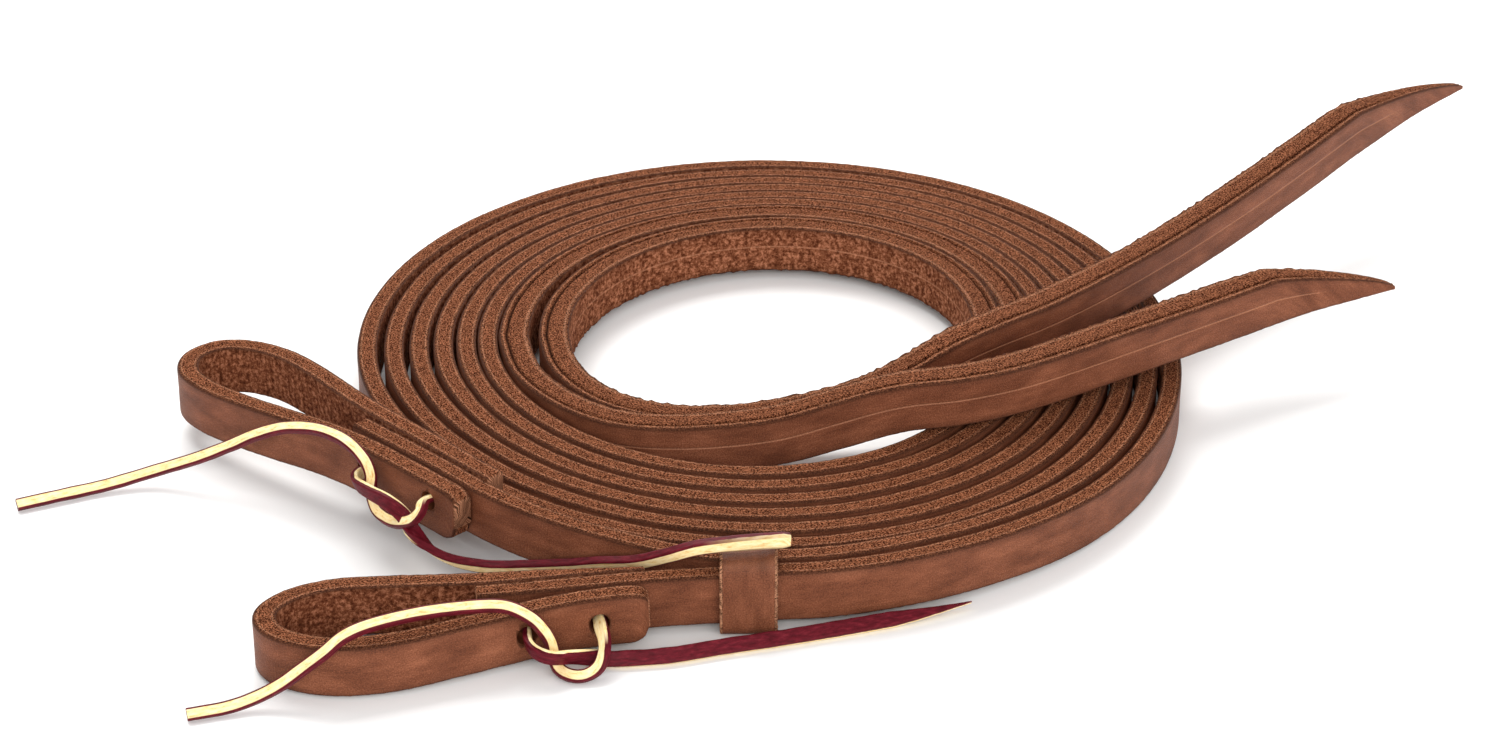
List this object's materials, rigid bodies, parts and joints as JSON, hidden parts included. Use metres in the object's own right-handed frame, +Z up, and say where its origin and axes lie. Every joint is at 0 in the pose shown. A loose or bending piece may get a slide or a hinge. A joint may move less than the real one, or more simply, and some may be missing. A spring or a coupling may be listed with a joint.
{
  "type": "split reins",
  "caption": "Pair of long narrow leather split reins coiled together on edge, with laced bit loops, a sliding keeper and slanted free ends.",
  "frame": {"origin": "on the floor, under the centre of the box round the leather straps, bit loops and keeper; the tie laces are left out of that box", "axes": "+X towards the free ends, along the longest side of the box; +Z up from the floor the coil lies on; +Y away from the laced bit loops"},
  "size_m": [0.3788, 0.2843, 0.0363],
  "materials": {
    "strap_leather": "oiled harness leather, matt",
    "bit_loop_leather": "oiled harness leather, matt",
    "keeper_leather": "oiled harness leather, satin",
    "latigo_lace": "burgundy latigo, satin"
  },
  "bodies": {
    "reins": {"near_rein_strap": "strap_leather", "far_rein_strap": "strap_leather", "near_bit_loop": "bit_loop_leather", "far_bit_loop": "bit_loop_leather", "near_tie_lace": "latigo_lace", "far_tie_lace": "latigo_lace"},
    "keeper": {"keeper": "keeper_leather"}
  },
  "joints": [
    {"name": "keeper_slide", "type": "slide", "parent": "reins", "child": "keeper", "axis": [1, 0, 0], "range_m": [-0.002, 0.005]}
  ]
}
